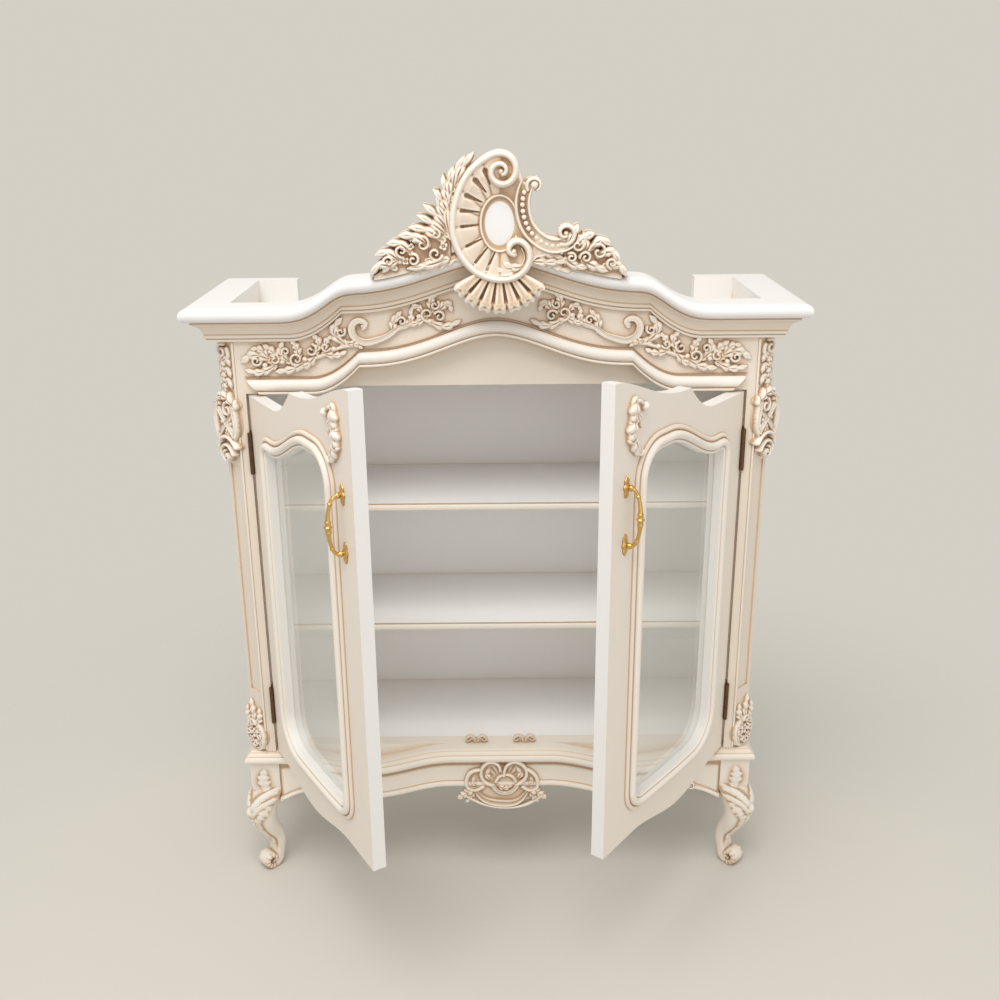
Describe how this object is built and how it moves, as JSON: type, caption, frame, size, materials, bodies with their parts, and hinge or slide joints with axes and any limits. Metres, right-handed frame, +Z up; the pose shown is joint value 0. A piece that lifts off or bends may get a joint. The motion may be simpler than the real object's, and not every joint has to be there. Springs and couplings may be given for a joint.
{
  "type": "display cabinet",
  "caption": "Painted display cabinet with arched glazed doors, carved asymmetric crest, shaped cornice, shelves and cabriole legs with whorl feet.",
  "frame": {"origin": "on the floor, under the centre of the box round the whole cabinet with its doors at rest", "axes": "+Z up, the front with the doors faces -Y, +X to the right as seen from the front"},
  "size_m": [1.09, 0.7018, 1.4388],
  "materials": {
    "ivory_paint": "satin ivory paint with a tan glaze in the hollows",
    "white_paint": "satin white paint",
    "brass": "polished",
    "bronze": "dark antique bronze",
    "clear_glass": "clear"
  },
  "bodies": {
    "cabinet": {"apron_shell": "ivory_paint", "arch_moulding": "ivory_paint", "back_panel": "white_paint", "base_moulding_front": "ivory_paint", "base_moulding_left": "ivory_paint", "base_moulding_right": "ivory_paint", "bottom_board": "white_paint", "cornice_front": "ivory_paint", "cornice_left": "ivory_paint", "cornice_rear_returns": "ivory_paint", "cornice_right": "ivory_paint", "crest_cabochon": "ivory_paint", "crest_fan": "ivory_paint", "crest_left_spray": "ivory_paint", "crest_main_scroll": "ivory_paint", "crest_right_spray": "ivory_paint", "crest_shell": "ivory_paint", "crest_small_scroll": "ivory_paint", "door_stop_rail": "ivory_paint", "frieze_board": "ivory_paint", "front_apron": "ivory_paint", "header_rail": "ivory_paint", "left_frieze_swag": "ivory_paint", "left_front_leg": "ivory_paint", "left_front_post": "ivory_paint", "left_post_carving": "ivory_paint", "left_rear_leg": "ivory_paint", "left_side_panel": "ivory_paint", "lower_shelf": "white_paint", "post_hinge_leaves": "bronze", "rear_apron": "ivory_paint", "rear_posts": "ivory_paint", "right_frieze_swag": "ivory_paint", "right_front_leg": "ivory_paint", "right_front_post": "ivory_paint", "right_post_carving": "ivory_paint", "right_rear_leg": "ivory_paint", "right_side_panel": "ivory_paint", "shelf_pegs": "brass", "side_aprons": "ivory_paint", "top_board": "ivory_paint", "upper_shelf": "white_paint"},
    "left_door": {"left_bolection": "ivory_paint", "left_bottom_rail": "ivory_paint", "left_door_drop": "ivory_paint", "left_door_hinges": "bronze", "left_glass": "clear_glass", "left_handle": "brass", "left_hinge_stile": "ivory_paint", "left_meeting_stile": "ivory_paint", "left_top_rail": "ivory_paint"},
    "right_door": {"right_bolection": "ivory_paint", "right_bottom_rail": "ivory_paint", "right_door_drop": "ivory_paint", "right_door_hinges": "bronze", "right_glass": "clear_glass", "right_handle": "brass", "right_hinge_stile": "ivory_paint", "right_meeting_stile": "ivory_paint", "right_top_rail": "ivory_paint"}
  },
  "joints": [
    {"name": "left_door_hinge", "type": "hinge", "parent": "cabinet", "child": "left_door", "pos_m": [-0.447, 0.0289, 0.65], "axis": [0, 0, -1], "range_deg": [-59, 51]},
    {"name": "right_door_hinge", "type": "hinge", "parent": "cabinet", "child": "right_door", "pos_m": [0.447, 0.0289, 0.65], "axis": [0, 0, 1], "range_deg": [-53, 57]}
  ]
}
